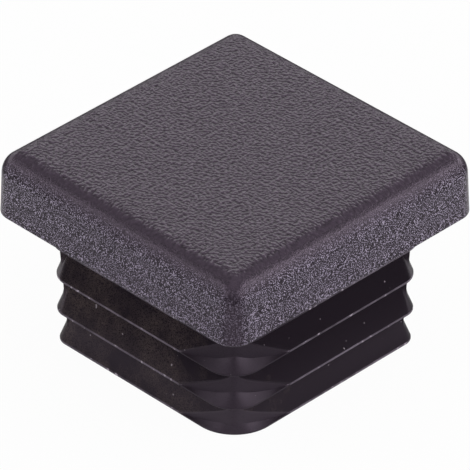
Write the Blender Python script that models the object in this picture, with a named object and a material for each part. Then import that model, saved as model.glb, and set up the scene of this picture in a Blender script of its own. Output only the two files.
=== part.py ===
# Ribbed end cap for a square tube: a rounded square head on a hollow plug with four saw-tooth ribs.
# One moulding in black polyethylene. Metres, +Z up, standing on the open end of its plug.
import math

import bmesh
import bpy
from mathutils import Vector

for old in list(bpy.data.objects):
    bpy.data.objects.remove(old, do_unlink=True)

# Head, the plate that covers the end of the tube
HEAD_WIDTH = 0.0250             # across the flats at its sharp lower edge
HEAD_HEIGHT = 0.0052
HEAD_EDGE_ROUND = 0.00180       # around the top
HEAD_CORNER_RADIUS = 0.00190    # the four upright corners
HEAD_DRAFT = math.radians(2.8)  # lets the head leave its cavity

# Plug, the part that is driven into the tube
RIB_WIDTH = 0.0196              # across the rib that fits tightest, RIB_WIDTH_AT below the head
RIB_WIDTH_AT = 0.00555
RIB_STEPS = (0.00272, 0.00286, 0.00310, 0.00269)  # head to first edge, then from edge to edge
RIB_REACH = 0.00105             # how far an edge stands out from the core
RIB_LAND = 0.00014              # the narrow upright face along an edge
PLUG_DRAFT = math.radians(3.0)  # each rib is a little smaller than the one above
SIDE_CORNER_RADII = (0.0020, 0.0020, 0.0015, 0.0013)    # rib edges at the left and right corners
FRONT_CORNER_RADII = (0.0025, 0.0025, 0.0025, 0.0032)  # at the front and back corners, which are eased

# Relief at the front and back corners: an upright blunt nose trims the flares of the ribs
RELIEF_HALF_WIDTH = 0.00430     # from the corner's middle to where the relief runs out
RELIEF_NOSE = 0.0120            # from the cap's middle to the nose
RELIEF_NOSE_RADIUS = 0.0012
LIP_HEIGHT = 0.00155            # the lip below the relief, at the middle of the corner
LIP_LEAN = 0.00125              # how far the lip's sides lean in over that height
LIP_TOP_RADIUS = 0.00040        # its corner radius at the top of the lip

# Left and right corners: a low upright bead on the mould's parting line
BEAD_WIDTH = 0.00070
BEAD_REACH = (0.01223, 0.01295)  # from the cap's middle, at the open end and under the head

# Hollow inside, open at the bottom
WALL = 0.00140                  # at the open end, measured in from the core
CROWN = 0.00230                 # plastic left above the hollow
CAVITY_DRAFT = math.radians(0.8)
CAVITY_CORNER_RADIUS = 0.00120
CAVITY_FLOOR_ROUND = 0.00080

LIP_CLEARANCE = 0.00002         # keeps the lip's form just outside the land of its rib
OVERLAP = 0.0003                # how far solids that are fused run into each other
CORNER_SEGMENTS = 10
ROOT2 = math.sqrt(2.0)

PLUG_LENGTH = sum(RIB_STEPS)
TOTAL_HEIGHT = PLUG_LENGTH + HEAD_HEIGHT


def rib_half_width(drop):
    """Half the width across the rib edges at a distance below the head."""
    return RIB_WIDTH / 2 - (drop - RIB_WIDTH_AT) * math.tan(PLUG_DRAFT)


def rounded_square(half, radii):
    """Points of a square whose front, right, back and left corners have the four radii."""
    corners = ((1, -1, -90), (1, 1, 0), (-1, 1, 90), (-1, -1, 180))
    points = []
    for (sx, sy, start), radius in zip(corners, radii):
        centre = Vector((sx * (half - radius), sy * (half - radius)))
        if radius < 1e-6:
            points.append(centre)
            continue
        for i in range(CORNER_SEGMENTS + 1):
            angle = math.radians(start + 90 * i / CORNER_SEGMENTS)
            points.append(centre + radius * Vector((math.cos(angle), math.sin(angle))))
    return points


def on_diagonals(across, forward):
    """A point given along the diagonals: towards the right corner, and the front one at +X -Y."""
    return Vector((across + forward, across - forward)) / ROOT2


def loft(name, sections, collection):
    """Closed solid through sections, each a height and its outline, listed from the bottom up."""
    bm = bmesh.new()
    rings = []
    for height, outline in sections:
        ring = [bm.verts.new((p.x, p.y, height)) for p in outline]
        rings.append([bm.edges.new((ring[i - 1], ring[i])) for i in range(len(ring))])
    for lower, upper in zip(rings, rings[1:]):
        bmesh.ops.bridge_loops(bm, edges=lower + upper)
    bmesh.ops.edgeloop_fill(bm, edges=rings[0])
    bmesh.ops.edgeloop_fill(bm, edges=rings[-1])
    bmesh.ops.recalc_face_normals(bm, faces=bm.faces)
    mesh = bpy.data.meshes.new(name)
    bm.to_mesh(mesh)
    bm.free()
    obj = bpy.data.objects.new(name, mesh)
    collection.objects.link(obj)
    return obj


def combine(target, tool, operation):
    """Adds, cuts or intersects the target with a tool, exactly."""
    step = target.modifiers.new(operation.lower() + " " + tool.name, "BOOLEAN")
    step.operation = operation
    step.solver = "EXACT"
    step.object = tool


def as_cutter(obj):
    obj.hide_render = True
    obj.display_type = "WIRE"
    return obj


def head(collection):
    """The rounded square plate: drafted sides, round upright corners and a round top edge."""
    bm = bmesh.new()
    bmesh.ops.create_cube(bm, size=1.0)
    bmesh.ops.scale(bm, vec=(HEAD_WIDTH, HEAD_WIDTH, HEAD_HEIGHT), verts=bm.verts)
    bmesh.ops.translate(bm, vec=(0, 0, PLUG_LENGTH + HEAD_HEIGHT / 2), verts=bm.verts)
    top = [v for v in bm.verts if v.co.z > PLUG_LENGTH + HEAD_HEIGHT / 2]
    shrink = 1 - 2 * HEAD_HEIGHT * math.tan(HEAD_DRAFT) / HEAD_WIDTH
    bmesh.ops.scale(bm, vec=(shrink, shrink, 1), verts=top)
    upright = [e for e in bm.edges if abs(e.verts[0].co.z - e.verts[1].co.z) > HEAD_HEIGHT / 2]
    bmesh.ops.bevel(bm, geom=upright, offset=HEAD_CORNER_RADIUS, segments=CORNER_SEGMENTS,
                    profile=0.5, affect="EDGES", clamp_overlap=True)
    rim = [e for e in bm.edges if all(v.co.z > TOTAL_HEIGHT - 1e-6 for v in e.verts)]
    bmesh.ops.bevel(bm, geom=rim, offset=HEAD_EDGE_ROUND, segments=10, profile=0.5,
                    affect="EDGES", clamp_overlap=False)
    bmesh.ops.recalc_face_normals(bm, faces=bm.faces)
    mesh = bpy.data.meshes.new("tube_end_cap")
    bm.to_mesh(mesh)
    bm.free()
    obj = bpy.data.objects.new("tube_end_cap", mesh)
    collection.objects.link(obj)
    return obj


def core(collection):
    """The plug's body inside the ribs, from within the lowest one up into the head."""
    half_bottom = rib_half_width(PLUG_LENGTH) - RIB_REACH
    half_top = rib_half_width(0) - RIB_REACH
    bottom = (FRONT_CORNER_RADII[-1], SIDE_CORNER_RADII[-1] - RIB_REACH) * 2
    top = (FRONT_CORNER_RADII[0], SIDE_CORNER_RADII[0] - RIB_REACH) * 2
    return loft("plug core", (
        (OVERLAP, rounded_square(half_bottom, bottom)),
        (PLUG_LENGTH + OVERLAP, rounded_square(half_top, top))), collection)


def rib(index, collection):
    """One saw-tooth skirt: a flare that widens downwards to a land with a square underside.

    Its top runs a little into the rib above, or the head.
    """
    drop = sum(RIB_STEPS[:index + 1])
    edge = PLUG_LENGTH - drop
    rise = RIB_STEPS[index]
    half = rib_half_width(drop)
    root = half - RIB_REACH
    radius = SIDE_CORNER_RADII[index]
    widest = rounded_square(half, (0, radius) * 2)
    narrowest = rounded_square(root, (0, radius - RIB_REACH) * 2)
    return loft(f"rib {index + 1}", (
        (edge, widest), (edge + RIB_LAND, widest),
        (edge + rise, narrowest), (edge + rise + OVERLAP, narrowest)), collection)


def relief(collection):
    """The upright form that trims the ribs, blunt at the front and back, clear of the sides."""
    clear = 0.5 * RIB_REACH

    def outline(drop):
        half = rib_half_width(drop)
        across = RELIEF_HALF_WIDTH
        run_out = ROOT2 * half - across
        centre = RELIEF_NOSE - RELIEF_NOSE_RADIUS
        # the flank leaves the nose at the angle of the tangent from the run-out point
        reach = math.hypot(across, run_out - centre)
        lean = math.atan2(run_out - centre, across) + math.acos(RELIEF_NOSE_RADIUS / reach)
        nose = [Vector((RELIEF_NOSE_RADIUS * math.cos(a), centre + RELIEF_NOSE_RADIUS * math.sin(a)))
                for a in (math.pi - lean + (2 * lean - math.pi) * i / 8 for i in range(9))]
        corner = ROOT2 * (half + clear)
        half_front = [Vector((-corner, 0)), Vector((-across, corner - across)),
                      Vector((-across, run_out))] + nose
        half_front += [Vector((across, run_out)), Vector((across, corner - across))]
        points = half_front + [-p for p in half_front]
        return [on_diagonals(p.x, p.y) for p in points]

    return loft("corner relief", (
        (-OVERLAP, outline(PLUG_LENGTH + OVERLAP)), (PLUG_LENGTH + OVERLAP, outline(-OVERLAP))),
        collection)


def lip(index, collection):
    """The rounded lip that closes a rib below the relief at the front and back corners."""
    drop = sum(RIB_STEPS[:index + 1])
    edge = PLUG_LENGTH - drop
    half = rib_half_width(drop) + LIP_CLEARANCE
    lower = rounded_square(half, (FRONT_CORNER_RADII[index], 0) * 2)
    upper = rounded_square(half - LIP_LEAN, (LIP_TOP_RADIUS, 0) * 2)
    return loft(f"lip {index + 1}", (
        (edge - OVERLAP, lower), (edge + RIB_LAND, lower), (edge + LIP_HEIGHT, upper)), collection)


def bead(collection):
    """A low upright bead inside the left and right corners, left by the mould's parting line."""
    def outline(corner):
        half = BEAD_WIDTH / 2
        return [on_diagonals(*p) for p in
                ((-corner, -half), (corner, -half), (corner, half), (-corner, half))]

    return loft("parting bead", (
        (OVERLAP, outline(BEAD_REACH[0])), (PLUG_LENGTH + OVERLAP, outline(BEAD_REACH[1]))),
        collection)


def cavity(collection):
    """The hollow of the plug, narrower towards the head, with a round floor edge."""
    depth = TOTAL_HEIGHT - CROWN
    half_open = rib_half_width(PLUG_LENGTH) - RIB_REACH - WALL
    half_floor = half_open - depth * math.tan(CAVITY_DRAFT)
    turn = CAVITY_FLOOR_ROUND
    radii = (CAVITY_CORNER_RADIUS,) * 4
    sections = [(-OVERLAP, rounded_square(half_open, radii))]
    for i in range(7):
        angle = math.radians(90 * i / 6)
        inset = turn * (1 - math.cos(angle))
        height = depth - turn + turn * math.sin(angle)
        sections.append((height, rounded_square(half_floor - inset,
                                                (CAVITY_CORNER_RADIUS - inset,) * 4)))
    return loft("hollow", sections, collection)


def black_polyethylene():
    material = bpy.data.materials.new("black polyethylene")
    material.use_nodes = True
    shader = material.node_tree.nodes["Principled BSDF"]
    shader.inputs["Base Color"].default_value = (0.022, 0.020, 0.023, 1.0)
    shader.inputs["Roughness"].default_value = 0.42
    shader.inputs["Metallic"].default_value = 0.0
    material.diffuse_color = (0.022, 0.020, 0.023, 1.0)
    return material


part_collection = bpy.data.collections.new("ribbed tube end cap")
cutter_collection = bpy.data.collections.new("cutters")
bpy.context.scene.collection.children.link(part_collection)
bpy.context.scene.collection.children.link(cutter_collection)

cap = head(part_collection)
trim = as_cutter(relief(cutter_collection))
combine(cap, as_cutter(core(cutter_collection)), "UNION")
for number in range(len(RIB_STEPS)):
    form = as_cutter(lip(number, cutter_collection))
    combine(form, trim, "UNION")
    ring = as_cutter(rib(number, cutter_collection))
    combine(ring, form, "INTERSECT")
    combine(cap, ring, "UNION")
combine(cap, as_cutter(bead(cutter_collection)), "UNION")
combine(cap, as_cutter(cavity(cutter_collection)), "DIFFERENCE")
cap.data.materials.append(black_polyethylene())
cap.data.shade_smooth()
cap.data.set_sharp_from_angle(angle=math.radians(30))
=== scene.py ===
# A ribbed end cap for square tube: one black moulding, seen corner-on from above, standing on a white table.
import math

import bmesh
import bpy
import numpy as np
from mathutils import Matrix, Vector


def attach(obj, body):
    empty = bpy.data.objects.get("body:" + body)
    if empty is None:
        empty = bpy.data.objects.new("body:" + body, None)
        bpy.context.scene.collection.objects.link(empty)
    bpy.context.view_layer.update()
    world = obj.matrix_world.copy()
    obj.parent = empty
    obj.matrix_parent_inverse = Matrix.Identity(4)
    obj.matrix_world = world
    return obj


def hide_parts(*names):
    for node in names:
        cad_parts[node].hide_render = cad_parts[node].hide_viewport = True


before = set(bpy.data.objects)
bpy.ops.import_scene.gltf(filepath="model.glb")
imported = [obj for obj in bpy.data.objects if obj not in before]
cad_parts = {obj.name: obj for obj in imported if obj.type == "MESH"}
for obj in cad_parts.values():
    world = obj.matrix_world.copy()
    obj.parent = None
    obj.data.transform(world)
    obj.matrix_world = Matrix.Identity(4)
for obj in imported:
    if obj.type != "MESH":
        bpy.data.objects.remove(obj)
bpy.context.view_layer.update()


# The camera has a long lens and looks down at the front corner of the head, where two of its sides meet.
# Its place and lens are a fit to the outline in the photograph, about the middle of the head's shoulder.
MM = 0.001                              # all sizes below are in mm, and become metres where a shape is made
HEAD_UNDERSIDE = 11.37                  # height of the shoulder above the floor
CAMERA_DISTANCE = 423.3                 # from the middle of the shoulder
CAMERA_ELEVATION = math.radians(34.55)
CAMERA_TURN = math.radians(0.39)        # the front corner points a little to the left of the camera
CAMERA_ROLL = math.radians(0.2)
FOCAL_PIXELS = 5844.0
FRAME_PIXELS = 470
SHOULDER_AT = (234.90, 210.12)          # where the middle of the shoulder falls in the frame, in pixels

azimuth = CAMERA_TURN - math.radians(45)
towards = Vector((math.cos(CAMERA_ELEVATION) * math.cos(azimuth),
                  math.cos(CAMERA_ELEVATION) * math.sin(azimuth),
                  math.sin(CAMERA_ELEVATION)))
right = Vector((-math.sin(azimuth), math.cos(azimuth), 0.0))
up = towards.cross(right)
shoulder = Vector((0.0, 0.0, HEAD_UNDERSIDE * MM))
eye = shoulder + towards * CAMERA_DISTANCE * MM
off_axis = [(pixel - FRAME_PIXELS / 2) / FOCAL_PIXELS for pixel in SHOULDER_AT]
aim = shoulder + (up * off_axis[1] - right * off_axis[0]) * CAMERA_DISTANCE * MM

camera_data = bpy.data.cameras.new("camera")
camera_data.sensor_fit = "HORIZONTAL"
camera_data.sensor_width = 36.0
camera_data.lens = FOCAL_PIXELS * camera_data.sensor_width / FRAME_PIXELS
camera_data.clip_start = 0.01
camera_data.clip_end = 20.0
camera = bpy.data.objects.new("camera", camera_data)
camera.location = eye
level_view = (aim - eye).to_track_quat("-Z", "Y").to_matrix()
camera.rotation_euler = (level_view @ Matrix.Rotation(-CAMERA_ROLL, 3, "Z")).to_euler()
bpy.context.scene.collection.objects.link(camera)
bpy.context.scene.camera = camera


# The whole cap is one injection moulding in black polyethylene. Every level of it is a square with round
# corners, so its skin is woven from upright columns and level rings. The columns are close round the corners,
# and on the flats beside the front and back corners, where a blunt face cuts each rib off.
FRONT_ARC, SIDE_ARC = 28, 18            # columns round a front or back corner, and round a left or right one
CLOSE_FLAT, WIDE_FLAT = 30, 8           # columns on a flat, near its front or back corner and on the rest
CLOSE_SHARE = 0.30                      # part of a flat that the close columns cover

corner_signs = np.array(((1, -1), (1, 1), (-1, 1), (-1, -1)))      # front, right, back, left
columns = []                            # from corner, to corner, share of the way, normal in x and y
for corner in range(4):
    arc_columns = FRONT_ARC if corner % 2 == 0 else SIDE_ARC
    start = math.radians(90 * corner - 90)
    for i in range(arc_columns):
        angle = start + math.radians(90) * i / arc_columns
        columns.append((corner, corner, 0.0, math.cos(angle), math.sin(angle)))
    shares = [CLOSE_SHARE * i / CLOSE_FLAT for i in range(CLOSE_FLAT)]
    shares += [CLOSE_SHARE + (1 - CLOSE_SHARE) * i / WIDE_FLAT for i in range(WIDE_FLAT)]
    if corner % 2 == 1:
        shares = [0.0] + [1 - share for share in reversed(shares[1:])]
    facing = (round(math.cos(start + math.pi / 2)), round(math.sin(start + math.pi / 2)))
    columns += [(corner, (corner + 1) % 4, share, *facing) for share in shares]
COLUMN_COUNT = len(columns)
columns = np.array(columns, dtype=float)
column_ends = columns[:, :2].astype(int)
column_share = columns[:, 2:3]
column_normal = columns[:, 3:]
column_signs = corner_signs[column_ends]
on_flat = column_ends[:, 0] != column_ends[:, 1]
at_front = ~on_flat & (column_ends[:, 0] % 2 == 0)       # round the front or back corner
at_side = ~on_flat & (column_ends[:, 0] % 2 == 1)        # round the left or right corner
squareness = np.max(np.abs(column_normal), axis=1)       # 1 on a flat, 0.71 in a corner's middle


def outline(half, radii):
    """Points of a round-cornered square, one for each column, from its half width and four corner radii."""
    radii = np.asarray(radii, dtype=float)
    first = column_signs[:, 0] * (half - radii[column_ends[:, 0]])[:, None]
    last = column_signs[:, 1] * (half - radii[column_ends[:, 1]])[:, None]
    points = first * (1 - column_share) + last * column_share
    points = points + column_normal * radii[column_ends[:, 0]][:, None]
    # a column on a flat stands on the wall itself, whatever the radius at its ends
    return np.where(on_flat[:, None] & (np.abs(column_normal) > 0.5), column_normal * half, points)


def skin(name, rings, marks, closed=False):
    """A mesh object from rings of (points, height), with marks from 0 to 1 at each point for the material."""
    coords = np.array([np.column_stack((points, np.broadcast_to(height, COLUMN_COUNT)))
                       for points, height in rings]).reshape(-1, 3) * MM
    faces = []
    for base in range(0, len(coords) - COLUMN_COUNT, COLUMN_COUNT):
        for i in range(COLUMN_COUNT):
            j = (i + 1) % COLUMN_COUNT
            faces.append((base + i, base + j, base + COLUMN_COUNT + j, base + COLUMN_COUNT + i))
    if closed:
        faces.append(range(len(coords) - COLUMN_COUNT, len(coords)))
    skin_mesh = bpy.data.meshes.new(name)
    skin_mesh.from_pydata(coords.tolist(), [], faces)
    for mark in ("edge_highlit", "trimmed", "rounded", "grained"):
        values = np.zeros((len(rings), COLUMN_COUNT))
        if mark in marks:
            values[:len(marks[mark])] = marks[mark]
        skin_mesh.attributes.new(mark, "FLOAT", "POINT").data.foreach_set("value", values.ravel())
    return bpy.data.objects.new(name, skin_mesh)


# Four saw-tooth ribs, moulded with the plug, grip the bore of the tube. Each flares down to a narrow upright
# land with a square underside. At the front and back corners an upright blunt face cuts the flare off, over a
# small sloping lip. At the left and right corners an upright bead runs down the ribs.
ROOT2 = math.sqrt(2.0)
RIB_HALF = (9.930, 9.802, 9.655, 9.503)         # half the width across each land, from the head down
RIB_DROP = (2.72, 5.58, 8.68, 11.37)            # from the head's underside to each land's lower edge
SIDE_RADIUS = (1.95, 2.02, 1.48, 1.29)          # left and right corners of each land
FRONT_RADIUS = (2.49, 2.49, 2.49, 3.45)         # front and back corners
LAND = 0.16
EDGE_ROUND = 0.055
FLARE_SLOPE = 0.395                             # inwards per mm upwards
BLUNT_TIP = (12.42, 12.41, 12.38, 12.28)        # cap's middle to where the blunt face's flanks would meet
BLUNT_RUN_OUT = 3.95                            # from the corner's middle to where the blunt face ends
BLUNT_ROUND = 0.45
LIP_RISE = (1.25, 1.25, 1.20, 0.90)             # height of the lip at the corner's middle
LIP_RUN_OUT = 3.3                               # from the corner's middle to where the lip ends
LIP_ROUND = 0.3
LEAST_LIP = 0.04                                # part of its rise that the lip keeps where it ends
CREASE = 0.008                                  # softness where the faces meet
BEAD_REACH = 12.95                              # cap's middle to the bead, level with the head's underside
BEAD_LEAN = 0.0635                              # inwards per mm downwards
BEAD_HALF_WIDTH = 0.35
BEAD_FLANK = 6.0                                # inwards per mm sideways, past the bead's width
LAND_RING = 0.6                                 # the lowest upright ring, as a part of the land's height
LIP_RINGS, BLUNT_RINGS, FLARE_RINGS = 7, 8, 8   # up the lip, up the blunt face, and up the flare above it
RING_GAP = 0.02                                 # between the rings on either side of a crease
LIP_ROOM, ARCH_ROOM = (0.06, 0.8), (0.10, 0.05) # least space below and above the lip's top, and the arch
CUT_LEAST = 0.02                                # a blunt face shallower than this is none
CUT_FADE = 0.05                                 # depth of cut at which a face counts as wholly cut
EDGE_HIGHLIGHT_FADE = 0.35                                 # beside the blunt face, where the painted edge highlight fades
CUT_RINGS, EDGE_HIGHLIGHT_RINGS = 6, 10                 # rings up from the lower edge that are cut, and that carry the painted edge highlight
SEARCH_OUT, SEARCH_IN = -3.0, 4.0               # inwards from the land, where the blunt face is looked for
SEARCH_STEPS = 40

# how far each column of a left or right corner is turned from the corner's middle
bead_turn = np.arctan2(np.abs(column_normal[:, 0] - column_normal[:, 1]),
                       np.abs(column_normal.sum(axis=1)))


def soft_min(a, b, width):
    """The lower of two sizes, eased into each other where they are nearly equal."""
    return np.minimum(a, b) - np.maximum(width - np.abs(a - b), 0.0) ** 2 / (4 * width)


def soft_max(a, b, width):
    return -soft_min(-a, -b, width)


def blunt_inset(points, tip, half):
    """How far in from each point, along its column's normal, the blunt face lies, found by halving."""
    lean = (tip - (ROOT2 * half - BLUNT_RUN_OUT)) / BLUNT_RUN_OUT
    low, high = np.full(COLUMN_COUNT, SEARCH_OUT), np.full(COLUMN_COUNT, SEARCH_IN)
    for _ in range(SEARCH_STEPS):
        middle = (low + high) / 2
        tried = points - column_normal * middle[:, None]
        sideways = (tried[:, 0] + tried[:, 1]) / ROOT2
        forward = np.abs(tried[:, 0] - tried[:, 1]) / ROOT2
        outside = forward > tip - lean * np.sqrt(sideways ** 2 + BLUNT_ROUND ** 2)
        low, high = np.where(outside, middle, low), np.where(outside, high, middle)
    return (low + high) / 2


def spread(low, high, count):
    """Heights between two levels, closer together near both."""
    return [low + (high - low) * (1 - math.cos(math.pi * i / count)) / 2
            for i in range(1, count + 1)]


def quarter_turn(steps):
    """Angles of a quarter turn in equal steps, for a round edge."""
    return [math.radians(90 * i / steps) for i in range(steps + 1)]


def rib_rings(k):
    """One rib's rings, from its root under the rib above down to its lower edge at 0, and its marks."""
    rise = RIB_DROP[k] - (RIB_DROP[k - 1] if k else 0.0)
    edge = outline(RIB_HALF[k], (FRONT_RADIUS[k], SIDE_RADIUS[k]) * 2)
    blunt = blunt_inset(edge, BLUNT_TIP[k], RIB_HALF[k])
    from_middle = np.sqrt(((edge[:, 0] + edge[:, 1]) / ROOT2) ** 2 + LIP_ROUND ** 2)
    lip_height = LIP_RISE[k] * np.clip(1 - from_middle / LIP_RUN_OUT, LEAST_LIP, 1.0)
    lip_slope = np.maximum(blunt, 0.0) / lip_height

    def wall(height):
        """How far in the rib's wall lies at a height, and how much of it is the cut blunt face, 0 to 1."""
        flare = FLARE_SLOPE * np.maximum(height - LAND, 0.0)
        flare = np.where(at_front, FRONT_RADIUS[k] - (FRONT_RADIUS[k] - flare) / squareness, flare)
        lip = lip_slope * np.maximum(height - LAND, 0.0)
        cut = soft_max(flare, soft_min(blunt, lip, CREASE), CREASE)
        cut_share = np.clip((cut - flare) / CUT_FADE, 0.0, 1.0) * np.where(blunt > CUT_LEAST, 1.0, 0.0)
        bead_out = BEAD_REACH - BEAD_LEAN * (RIB_DROP[k] - height)
        bead = SIDE_RADIUS[k] - (bead_out - ROOT2 * (RIB_HALF[k] - SIDE_RADIUS[k])) / np.cos(bead_turn)
        past_bead = (SIDE_RADIUS[k] - bead) * np.sin(bead_turn) - BEAD_HALF_WIDTH
        bead = bead + BEAD_FLANK * np.maximum(past_bead, 0.0)
        return np.where(at_side, soft_min(cut, bead, CREASE), cut), cut_share

    # rings stand close at both creases: the lip's top, and the arch where the blunt face meets the flare
    lip_top = np.where(blunt > 0, LAND + lip_height, LAND)
    lip_top = np.clip(lip_top, LAND + LIP_ROOM[0], rise - LIP_ROOM[1])
    cut_depth = np.where(at_front, FRONT_RADIUS[k] - (FRONT_RADIUS[k] - blunt) * squareness, blunt)
    arch = np.clip(LAND + cut_depth / FLARE_SLOPE, lip_top + ARCH_ROOM[0], rise - ARCH_ROOM[1])
    heights = [np.full(COLUMN_COUNT, LAND * LAND_RING), np.full(COLUMN_COUNT, LAND)]
    heights += spread(LAND, lip_top, LIP_RINGS) + [lip_top + RING_GAP]
    heights += spread(lip_top + RING_GAP, arch - RING_GAP, BLUNT_RINGS) + [arch + RING_GAP]
    heights += spread(arch + RING_GAP, rise, FLARE_RINGS)
    rings, trimmed = [], []
    for height in reversed(heights):
        inset, cut_share = wall(height)
        rings.append((edge - column_normal * inset[:, None], height))
        trimmed.append(cut_share)
    for a in quarter_turn(3):
        rings.append((edge - column_normal * (EDGE_ROUND * (1 - math.cos(a))),
                      EDGE_ROUND * (1 - math.sin(a))))
    trimmed = trimmed[:len(rings) - CUT_RINGS] + [np.max(trimmed, axis=0)] * CUT_RINGS
    beside_blunt = np.clip(1.0 - np.maximum(blunt + EDGE_HIGHLIGHT_FADE, 0.0), 0.0, 1.0)
    edge_highlit_share = np.where(blunt > 0.0, 0.0, beside_blunt)
    edge_highlit = [np.zeros(COLUMN_COUNT)] * (len(rings) - EDGE_HIGHLIGHT_RINGS) + [edge_highlit_share] * EDGE_HIGHLIGHT_RINGS
    return rings, {"edge_highlit": edge_highlit, "trimmed": trimmed}


rib_shapes = bpy.data.collections.new("rib_shapes")
made_ribs = [rib_rings(k) for k in range(len(RIB_DROP))]
rib_roots = [rings[0][0] for rings, _ in made_ribs]
lowest_ring = made_ribs[-1][0][-1]
for k, (rings, marks) in enumerate(made_ribs):
    if k + 1 < len(made_ribs):          # the level underside goes in to the root of the rib below
        root_below = rib_roots[k + 1]
        rings += [((rings[-1][0] + root_below) / 2, 0.0), (root_below, 0.0)]
    rib_shapes.objects.link(skin(f"rib_{k + 1}", rings, marks))

# the levels at which the ribs stand, one point each
rib_levels = bpy.data.meshes.new("rib_levels")
rib_levels.from_pydata([(0, 0, (HEAD_UNDERSIDE - drop) * MM) for drop in RIB_DROP], [], [])


# The head is a square plate, moulded on top of the plug, that covers the sawn end of the tube. Its sides lean
# in a little as they rise, and turn over into the flat top in a wide round edge.
HEAD_HALF = 12.5
HEAD_HEIGHT = 5.2
HEAD_CORNER = 1.67
HEAD_ROUND = 1.90
HEAD_DRAFT = 0.0489                     # inwards per mm upwards
LOWER_EDGE_ROUND = 0.12
LEAST_RADIUS = 0.12
UNDERSIDE_INSET = 1.2                   # ring on the underside, from the widest edge
SIDE_LEVELS = (0.6, 1.2, 1.8, 2.4)      # rings up the side
TOP_INSETS = (3.5, 5.5, 8.0, 10.5, 12.2)                 # rings across the top, from the widest edge
UNDERSIDE_RINGS = 3                     # the first rings, which lie under the head and have no grain
CORNER_FADE = 0.10                      # loss of squareness past which a corner counts as wholly round


def drawn_square(half, radius, inset):
    """A round-cornered square drawn in by an amount. Its radius shrinks with it, down to a least one."""
    return outline(half - inset, (max(radius - inset, LEAST_RADIUS),) * 4)


side_height = HEAD_HEIGHT - HEAD_ROUND
head_steps = [(UNDERSIDE_INSET, 0.0)]   # how far drawn in, and height above the underside
head_steps += [(LOWER_EDGE_ROUND * (1 - math.sin(a)), LOWER_EDGE_ROUND * (1 - math.cos(a)))
               for a in quarter_turn(4)]
head_steps += [(HEAD_DRAFT * height, height) for height in (*SIDE_LEVELS, side_height)]
head_steps += [(HEAD_DRAFT * side_height + HEAD_ROUND * (1 - math.cos(a)),
                side_height + HEAD_ROUND * math.sin(a)) for a in quarter_turn(16)[1:]]
head_steps += [(inset, HEAD_HEIGHT) for inset in TOP_INSETS]
head_rings = [(rib_roots[0], HEAD_UNDERSIDE)]
head_rings += [(drawn_square(HEAD_HALF, HEAD_CORNER, inset), HEAD_UNDERSIDE + height)
               for inset, height in head_steps]
rounded = np.tile(np.clip((1 - squareness) / CORNER_FADE, 0.0, 1.0), (len(head_rings), 1))
grained = np.ones((len(head_rings), COLUMN_COUNT))
grained[:UNDERSIDE_RINGS] = 0
head = skin("head", head_rings, {"rounded": rounded, "grained": grained}, closed=True)


# The plug is hollow and open at the bottom, which keeps the moulding's walls even and lets the ribs give.
# The hollow is a square well with a flat rim round its mouth and a round edge all round its far end.
HOLLOW_HALF = 7.05
HOLLOW_CORNER = 1.2
HOLLOW_DRAFT = 0.014                    # inwards per mm upwards
HOLLOW_DEPTH = 14.27
HOLLOW_END_ROUND = 0.8
RIM_ROUND = 0.15
RIM_ROUND_MIDDLE = 0.045                # how far out and up the middle of that round lies
WELL_LEVELS = (3.0, 6.0, 9.0)           # rings up the wall
END_INSETS = (3.0, 5.0, 7.0)            # rings across the far end

wall_height = HOLLOW_DEPTH - HOLLOW_END_ROUND
hollow_steps = [(0, RIM_ROUND)]         # how far drawn in, and height above the rim
hollow_steps += [(HOLLOW_DRAFT * height, height) for height in (*WELL_LEVELS, wall_height)]
hollow_steps += [(HOLLOW_DRAFT * wall_height + HOLLOW_END_ROUND * (1 - math.cos(a)),
                  wall_height + HOLLOW_END_ROUND * math.sin(a)) for a in quarter_turn(8)[1:]]
hollow_steps += [(inset, HOLLOW_DEPTH) for inset in END_INSETS]
hollow_rings = [lowest_ring,
                (drawn_square(HOLLOW_HALF + RIM_ROUND, HOLLOW_CORNER + RIM_ROUND, 0), 0.0),
                (drawn_square(HOLLOW_HALF + RIM_ROUND_MIDDLE, HOLLOW_CORNER, 0), RIM_ROUND_MIDDLE)]
hollow_rings += [(drawn_square(HOLLOW_HALF, HOLLOW_CORNER, inset), height) for inset, height in hollow_steps]
hollow = skin("hollow", hollow_rings, {}, closed=True)
shell_shapes = bpy.data.collections.new("shell_shapes")
shell_shapes.objects.link(head)
shell_shapes.objects.link(hollow)


# Black polyethylene. The mould's spark-eroded grain covers the head: coarse on the top, fine on the sides
# with painted sparkle, pale dots that stand for glints, shallow along the round edges. The plug is smooth and
# a little glossy, under a thin dusty film, with dull blunt faces at its corners and a painted highlight on
# the rib edges.
GRAIN_PER_METRE, GRAIN_DEPTH = 4050, 0.145
SIDE_GRAIN_PER_METRE, SIDE_GRAIN_DEPTH = 11500, 0.060
FILM_PER_METRE = 260
CRUMBS_PER_METRE = 3300
TOP_BEGINS = 4.9                        # height up the head where the top's grain takes over from the sides'
# how much of the grain is left, by height up the head
GRAIN_BY_HEIGHT = ((0.0, 1.0), (4.35, 1.0), (4.72, 0.42), (5.03, 0.42), (5.17, 1.0))
CORNER_SMOOTHING = 0.72                 # part of the grain, and of its painted sparkle, that is lost round the head's upright corners
PLUG_ROUGHNESS, HEAD_ROUGHER, CUT_ROUGHER = 0.17, 0.11, 0.38
FILM_FALL = 45.0                        # how fast the film thins towards the right, per metre
# the contrast of each pattern, as gain and shift
FILM_PATCHES, FILM_SPECKS = (3.6, -1.8), (4.0, -1.4)
TOP_RIDGES, SIDE_RIDGES, SIDE_SPARKLE_SPOTS = (2.6, -1.3), (6.0, -3.4), (10.0, -5.45)
BELOW_ROUND = (-5.6, 5.0)               # painted sparkle on the upright side, and not on the round edge above it
CUT_SPECKS = (4.0, -1.25)
CRUMB_SPOTS, EDGE_HIGHLIGHT_PATCHES, GLINT_SPOTS = (30.0, -25.6), (3.0, -0.75), (9.0, -6.1)
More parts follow.
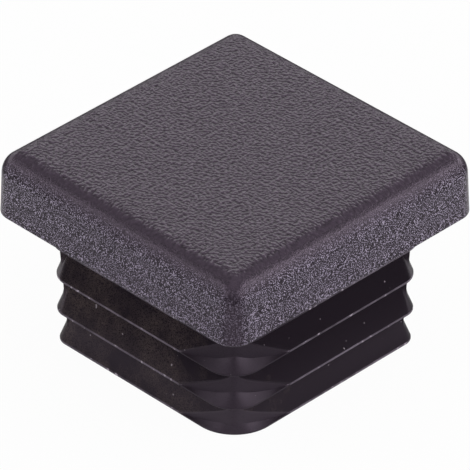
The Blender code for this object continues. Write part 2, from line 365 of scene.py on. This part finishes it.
# linear colours
SURFACE_TINT = (0.97, 0.78, 1.0, 1.0)
DEEP_BLACK = (0.0115, 0.0080, 0.0120, 1)
DUSTY_FILM = (0.0560, 0.0420, 0.0400, 1)
GRAIN_GREY = (0.066, 0.048, 0.070, 1)
CUT_BLACK = (0.0200, 0.0140, 0.0215, 1)
# painted sparkle: pale dots that stand for glints on the head's sides
PAINTED_SPARKLE = (0.380, 0.333, 0.437, 1)
CRUMB = (0.30, 0.26, 0.29, 1)
# painted highlights: along the rib edges, then the glints on them
PAINTED_EDGE_HIGHLIGHT = (0.150, 0.126, 0.158, 1)
GLINT = (0.46, 0.40, 0.47, 1)

plastic = bpy.data.materials.new("black_polyethylene")
plastic.use_nodes = True


def add_node(tree, kind, inputs=(), **settings):
    """A node with its settings and its inputs, each a value or another node's output, by place or by name."""
    node = tree.nodes.new(kind)
    for name, value in settings.items():
        setattr(node, name, value)
    for socket, value in dict(inputs).items():
        if isinstance(value, bpy.types.NodeSocket):
            tree.links.new(value, node.inputs[socket])
        else:
            node.inputs[socket].default_value = value
    return node


def worked_out(tree, operation, *values, clamp=False):
    """An amount worked out from others by a Math node."""
    return add_node(tree, "ShaderNodeMath", enumerate(values),
                    operation=operation, use_clamp=clamp).outputs[0]


def amount(operation, *values, clamp=False):
    """An amount worked out over the plastic."""
    return worked_out(plastic.node_tree, operation, *values, clamp=clamp)


def contrasted(value, gain, shift):
    """A pattern with its contrast set, kept from 0 to 1."""
    return amount("MULTIPLY_ADD", value, gain, shift, clamp=True)


def pattern(name, per_metre, detail, roughness):
    """A noise on the cap's own coordinates."""
    return add_node(plastic.node_tree, "ShaderNodeTexNoise",
                    {"Vector": cap_place, "Scale": per_metre, "Detail": detail, "Roughness": roughness},
                    name=name, label=name).outputs["Fac"]


def marked(name):
    """How strongly the skin carries a mark."""
    return add_node(plastic.node_tree, "ShaderNodeAttribute", attribute_name=name).outputs["Fac"]


def mixed(share, a, b, kind="RGBA"):
    """a where the share is 0 and b where it is 1, as colours or as plain amounts."""
    return add_node(plastic.node_tree, "ShaderNodeMix", {"Factor": share, "A": a, "B": b},
                    data_type=kind).outputs["Result"]


cap_place = add_node(plastic.node_tree, "ShaderNodeTexCoord").outputs["Object"]
cap_x, cap_y, cap_z = add_node(plastic.node_tree, "ShaderNodeSeparateXYZ", {0: cap_place}).outputs
grain = pattern("spark_grain", GRAIN_PER_METRE, detail=1.0, roughness=0.35)
side_grain = pattern("side_grain", SIDE_GRAIN_PER_METRE, detail=0.6, roughness=0.45)
film = pattern("dusty_film", FILM_PER_METRE, detail=3.0, roughness=0.7)
crumbs = pattern("crumbs", CRUMBS_PER_METRE, detail=0.0, roughness=0.5)
on_head, on_cut, on_highlit_edge, round_corner = map(marked, ("grained", "trimmed", "edge_highlit", "rounded"))
on_plug = amount("SUBTRACT", 1.0, on_head)
below_top = amount("LESS_THAN", cap_z, (HEAD_UNDERSIDE + TOP_BEGINS) * MM)
up_head = amount("DIVIDE", amount("SUBTRACT", cap_z, HEAD_UNDERSIDE * MM), HEAD_HEIGHT * MM, clamp=True)

# the grain as bumps, shallow along the round top edge and round the corners
by_height = add_node(plastic.node_tree, "ShaderNodeValToRGB", {"Fac": up_head})
by_height.color_ramp.interpolation = "EASE"
while len(by_height.color_ramp.elements) < len(GRAIN_BY_HEIGHT):
    by_height.color_ramp.elements.new(0.5)
for element, (height, value) in zip(by_height.color_ramp.elements, GRAIN_BY_HEIGHT):
    element.position = height / HEAD_HEIGHT
    element.color = (value, value, value, 1)
off_corner = amount("MULTIPLY_ADD", amount("MULTIPLY", round_corner, below_top), -CORNER_SMOOTHING, 1.0)
grain_share = amount("MULTIPLY", amount("MULTIPLY", on_head, by_height.outputs["Color"]), off_corner)
grain_height = mixed(below_top, amount("MULTIPLY", grain, GRAIN_DEPTH),
                     amount("MULTIPLY", side_grain, SIDE_GRAIN_DEPTH), kind="FLOAT")
bump = add_node(plastic.node_tree, "ShaderNodeBump",
                {"Distance": MM, "Height": grain_height, "Strength": grain_share})
roughness = amount("MULTIPLY_ADD", on_cut, CUT_ROUGHER, PLUG_ROUGHNESS)
roughness = amount("MULTIPLY_ADD", on_head, HEAD_ROUGHER, roughness)

# the dusty film on the plug, thickest on its left and broken up into fine specks
film_left = amount("MULTIPLY", amount("ADD", cap_x, cap_y), -FILM_FALL)
film_depth = amount("ADD", amount("MULTIPLY_ADD", film, *FILM_PATCHES), film_left, clamp=True)
film_share = amount("MULTIPLY", amount("MULTIPLY", film_depth, on_plug), contrasted(side_grain, *FILM_SPECKS))
colour = mixed(film_share, DEEP_BLACK, DUSTY_FILM)
# the head's paler grey, which follows the grain
ridges = mixed(below_top, amount("MULTIPLY_ADD", grain, *TOP_RIDGES),
               amount("MULTIPLY_ADD", side_grain, *SIDE_RIDGES), kind="FLOAT")
greyed = amount("MULTIPLY_ADD", grain_share, ridges, 0.5, clamp=True)
colour = mixed(amount("MULTIPLY", on_head, greyed), colour, GRAIN_GREY)
# the dull blunt faces, then painted sparkle: pale dots on the peaks of the grain on the head's sides
colour = mixed(amount("MULTIPLY", on_cut, contrasted(side_grain, *CUT_SPECKS)), colour, CUT_BLACK)
painted_sparkle_share = amount("MULTIPLY", contrasted(up_head, *BELOW_ROUND), grain_share)
painted_sparkle_share = amount("MULTIPLY", contrasted(side_grain, *SIDE_SPARKLE_SPOTS), painted_sparkle_share)
colour = mixed(painted_sparkle_share, colour, PAINTED_SPARKLE)
# a few crumbs on the plug, then a patchy painted highlight along the rib edges, with a few painted glints on
# it
colour = mixed(amount("MULTIPLY", contrasted(crumbs, *CRUMB_SPOTS), on_plug), colour, CRUMB)
colour = mixed(amount("MULTIPLY", on_highlit_edge, contrasted(film, *EDGE_HIGHLIGHT_PATCHES)), colour, PAINTED_EDGE_HIGHLIGHT)
colour = mixed(amount("MULTIPLY", on_highlit_edge, contrasted(crumbs, *GLINT_SPOTS)), colour, GLINT)

shader = plastic.node_tree.nodes["Principled BSDF"]
shader.inputs["Specular Tint"].default_value = SURFACE_TINT
for name, value in (("Base Color", colour), ("Roughness", roughness), ("Normal", bump.outputs["Normal"])):
    plastic.node_tree.links.new(value, shader.inputs[name])


# The cap leaves its mould in one piece. The ribs are stacked at their levels, joined to the head and hollow,
# and welded where their rings meet, so that the moulding is one closed skin in one plastic.
WELD_DISTANCE = 1e-6                    # metres
CREASE_ANGLE = math.radians(40)         # edges sharper than this stay crisp

stacking = bpy.data.node_groups.new("stack_of_ribs", "GeometryNodeTree")
for name, kind in (("Levels", "NodeSocketGeometry"), ("Ribs", "NodeSocketCollection"),
                   ("Shell", "NodeSocketCollection"), ("Plastic", "NodeSocketMaterial"),
                   ("Weld distance", "NodeSocketFloat")):
    stacking.interface.new_socket(name, in_out="INPUT", socket_type=kind)
stacking.interface.new_socket("Moulding", in_out="OUTPUT", socket_type="NodeSocketGeometry")
given = add_node(stacking, "NodeGroupInput").outputs
ribs = add_node(stacking, "GeometryNodeCollectionInfo",
                {"Collection": given["Ribs"], "Separate Children": True, "Reset Children": True})
number = add_node(stacking, "GeometryNodeInputIndex")
stack = add_node(stacking, "GeometryNodeInstanceOnPoints",
                 {"Points": given["Levels"], "Instance": ribs.outputs["Instances"], "Pick Instance": True,
                  "Instance Index": number.outputs["Index"]})
shell = add_node(stacking, "GeometryNodeCollectionInfo", {"Collection": given["Shell"]})
joined = add_node(stacking, "GeometryNodeJoinGeometry", {"Geometry": stack.outputs["Instances"]})
stacking.links.new(shell.outputs["Instances"], joined.inputs["Geometry"])
real = add_node(stacking, "GeometryNodeRealizeInstances", {"Geometry": joined.outputs["Geometry"]})
weld = add_node(stacking, "GeometryNodeMergeByDistance",
                {"Geometry": real.outputs["Geometry"], "Distance": given["Weld distance"]})
coat = add_node(stacking, "GeometryNodeSetMaterial",
                {"Geometry": weld.outputs["Geometry"], "Material": given["Plastic"]})
add_node(stacking, "NodeGroupOutput", {"Moulding": coat.outputs["Geometry"]})

maker = bpy.data.objects.new("moulding_maker", rib_levels)
bpy.context.scene.collection.objects.link(maker)
step = maker.modifiers.new("stack", "NODES")
step.node_group = stacking
sockets = {item.name: item.identifier for item in stacking.interface.items_tree if item.in_out == "INPUT"}
step[sockets["Ribs"]] = rib_shapes
step[sockets["Shell"]] = shell_shapes
step[sockets["Plastic"]] = plastic
step[sockets["Weld distance"]] = WELD_DISTANCE
evaluated = maker.evaluated_get(bpy.context.evaluated_depsgraph_get())
moulding = bpy.data.meshes.new_from_object(evaluated)
maker.modifiers.remove(step)
bpy.data.objects.remove(maker)
moulding.name = "tube_end_cap_moulding"
moulding.materials.pop(index=0)         # the empty slot that stands before the plastic's
outwards = bmesh.new()
outwards.from_mesh(moulding)
bmesh.ops.recalc_face_normals(outwards, faces=outwards.faces)
outwards.to_mesh(moulding)
outwards.free()
moulding.shade_smooth()
moulding.set_sharp_from_angle(angle=CREASE_ANGLE)
cap = bpy.data.objects.new("tube_end_cap_moulding", moulding)
bpy.context.scene.collection.objects.link(cap)
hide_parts("tube_end_cap")
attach(cap, "root")


# The table is a plain matt white sheet, which the camera sees nearly pure white, with the cap's faint shadow.
# Glossy surfaces see a glowing white card on it: brighter at the left, a painted pool of light under the
# front corner, painted shade round the cap, and dim beyond its rim.
FLOOR_HALF = 3                          # metres, as are the distances below
WHITE_SHARE = 0.96                      # the rest is the lit sheet itself, which keeps the cap's shadow
SHEET_WHITE = (0.8, 0.8, 0.8, 1)
TO_THE_RIGHT = (0.7071, 0.7071, 0)
CARD_LIGHT = {"From Min": -0.035, "From Max": 0.035, "To Min": 0.92, "To Max": 0.86}      # left to right
# each ring of the card: its middle, then two distances, each with the brightness there. The first ring is
# a painted pool of light under the front corner, the second painted shade round the cap, the third the card's
# rim
CARD_RINGS = (((0.0095, -0.0095, 0), 0.003, 2.6, 0.009, 1.0),
              ((0.003, -0.003, 0), 0.025, 0.36, 0.036, 1.0),
              ((0, 0, 0), 0.041, 1.0, 0.048, 0.05))

floor_mesh = bpy.data.meshes.new("floor")
floor_mesh.from_pydata([(-FLOOR_HALF, -FLOOR_HALF, 0), (FLOOR_HALF, -FLOOR_HALF, 0),
                        (FLOOR_HALF, FLOOR_HALF, 0), (-FLOOR_HALF, FLOOR_HALF, 0)], [], [(0, 1, 2, 3)])
floor = bpy.data.objects.new("floor", floor_mesh)
bpy.context.scene.collection.objects.link(floor)
table = bpy.data.materials.new("white_table")
table.use_nodes = True
table_tree = table.node_tree
table_tree.nodes.clear()
on_table = add_node(table_tree, "ShaderNodeTexCoord").outputs["Object"]
rightwards = add_node(table_tree, "ShaderNodeVectorMath", {0: on_table, 1: TO_THE_RIGHT},
                      operation="DOT_PRODUCT").outputs["Value"]
card_light = add_node(table_tree, "ShaderNodeMapRange", {"Value": rightwards, **CARD_LIGHT}).outputs["Result"]
for middle, near, here, far, there in CARD_RINGS:
    away = add_node(table_tree, "ShaderNodeVectorMath", {0: on_table, 1: middle}, operation="DISTANCE")
    ring = add_node(table_tree, "ShaderNodeMapRange",
                    {"Value": away.outputs["Value"], "From Min": near, "From Max": far,
                     "To Min": here, "To Max": there}, interpolation_type="SMOOTHSTEP")
    card_light = worked_out(table_tree, "MULTIPLY", card_light, ring.outputs["Result"])
sheet = add_node(table_tree, "ShaderNodeBsdfDiffuse", {"Color": SHEET_WHITE}).outputs[0]
card = add_node(table_tree, "ShaderNodeEmission", {"Strength": card_light}).outputs[0]
white = add_node(table_tree, "ShaderNodeEmission").outputs[0]
ray = add_node(table_tree, "ShaderNodeLightPath").outputs
mirrored = worked_out(table_tree, "MAXIMUM", ray["Is Glossy Ray"], ray["Is Transmission Ray"])
seen = worked_out(table_tree, "MULTIPLY", ray["Is Camera Ray"], WHITE_SHARE)
lit_table = add_node(table_tree, "ShaderNodeMixShader", {0: mirrored, 1: sheet, 2: card}).outputs[0]
shown_table = add_node(table_tree, "ShaderNodeMixShader", {0: seen, 1: lit_table, 2: white}).outputs[0]
add_node(table_tree, "ShaderNodeOutputMaterial", {0: shown_table})
floor_mesh.materials.append(table)


# The studio is a soft grey room with four wide soft boxes and no lamps: two low at the left and right, a weak
# one low behind the cap, and a faint high one in front. The camera sees a plain white backdrop instead.
# The brightness of the room and of each box goes by height, in pairs of degrees up and brightness.
ROOM = ((0, 0.02), (8, 0.06), (18, 0.40), (34, 0.40), (46, 0.34), (60, 0.50), (90, 0.8))
LOW_BOX = ((0, 0.0), (8, 0.05), (15, 1.0), (26, 1.0), (34, 0.0))
BACK_BOX = ((0, 0.2), (4, 0.4), (8, 1.0), (26, 1.0), (34, 0.0))
FRONT_BOX = ((0, 0.0), (14, 0.0), (30, 1.0), (72, 1.0), (82, 0.0))
# each box: degrees round, half its width, the softness of its ends, strength
SOFT_BOXES = (("left_box", LOW_BOX, 232, 42, 10, 2.4),
              ("right_box", LOW_BOX, 38, 42, 10, 4.4),
              ("back_box", BACK_BOX, 135, 46, 12, 1.22),
              ("front_box", FRONT_BOX, 315, 60, 12, 0.26))

world = bpy.data.worlds.new("studio")
bpy.context.scene.world = world
world.use_nodes = True
room_tree = world.node_tree
room_tree.nodes.clear()
look = add_node(room_tree, "ShaderNodeTexCoord").outputs["Generated"]
look_up = add_node(room_tree, "ShaderNodeSeparateXYZ", {0: look}).outputs["Z"]
look_flat = add_node(room_tree, "ShaderNodeVectorMath", {0: look, 1: (1, 1, 0)},
                     operation="MULTIPLY").outputs[0]
look_round = add_node(room_tree, "ShaderNodeVectorMath", {0: look_flat}, operation="NORMALIZE").outputs[0]


def glow(name, stops):
    """Brightness by height, from pairs of degrees up and brightness."""
    ramp_node = add_node(room_tree, "ShaderNodeValToRGB", {"Fac": look_up}, name=name, label=name)
    ramp = ramp_node.color_ramp
    ramp.interpolation = "EASE"
    while len(ramp.elements) < len(stops):
        ramp.elements.new(0.5)
    for stop, (degrees, brightness) in zip(ramp.elements, stops):
        stop.position = max(math.sin(math.radians(degrees)), 0.0)
        stop.color = (brightness, brightness, brightness, 1)
    return ramp_node.outputs["Color"]


light = glow("room", ROOM)
for name, stops, turn, half_width, softness, strength in SOFT_BOXES:
    middle = (math.cos(math.radians(turn)), math.sin(math.radians(turn)), 0)
    nearness = add_node(room_tree, "ShaderNodeVectorMath", {0: look_round, 1: middle},
                        operation="DOT_PRODUCT")
    window = add_node(room_tree, "ShaderNodeMapRange",
                      {"Value": nearness.outputs["Value"],
                       "From Min": math.cos(math.radians(half_width + softness)),
                       "From Max": math.cos(math.radians(half_width - softness))},
                      name=name, label=name, interpolation_type="SMOOTHSTEP")
    power = worked_out(room_tree, "MULTIPLY", window.outputs["Result"], strength)
    box = add_node(room_tree, "ShaderNodeVectorMath", {0: glow(name + "_height", stops), "Scale": power},
                   operation="SCALE")
    light = add_node(room_tree, "ShaderNodeVectorMath", {0: light, 1: box.outputs[0]}).outputs[0]
surround = add_node(room_tree, "ShaderNodeBackground", {"Color": light}).outputs[0]
backdrop = add_node(room_tree, "ShaderNodeBackground", {"Color": (1, 1, 1, 1)}).outputs[0]
to_camera = add_node(room_tree, "ShaderNodeLightPath").outputs["Is Camera Ray"]
shown_room = add_node(room_tree, "ShaderNodeMixShader",
                      {0: to_camera, 1: surround, 2: backdrop}).outputs[0]
add_node(room_tree, "ShaderNodeOutputWorld", {"Surface": shown_room})
bpy.context.scene.view_settings.view_transform = "Standard"
